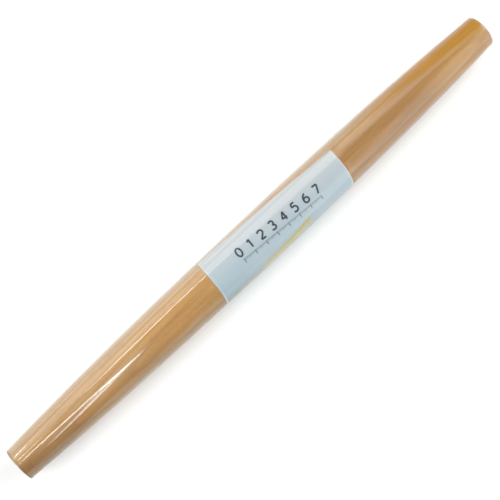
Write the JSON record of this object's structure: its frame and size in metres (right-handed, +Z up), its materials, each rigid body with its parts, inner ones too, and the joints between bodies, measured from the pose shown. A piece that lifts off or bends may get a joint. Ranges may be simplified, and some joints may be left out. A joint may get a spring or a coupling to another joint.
{
  "type": "french rolling pin",
  "caption": "Handleless wooden rolling pin that tapers to both ends, with a wrapped paper label under clear shrink film.",
  "frame": {"origin": "on the table under the middle of the pin", "axes": "+X along the pin towards the end with the larger edge radius, +Z up, away from the table that it lies on"},
  "size_m": [0.4506, 0.0368, 0.0369],
  "materials": {
    "beech_wood": "fine sanded, bare",
    "label_paper": "coated, printed pale blue",
    "clear_film": "clear, glossy, heat shrunk"
  },
  "bodies": {
    "root": {"wooden_pin": "beech_wood", "paper_label": "label_paper", "shrink_film": "clear_film"}
  },
  "joints": []
}
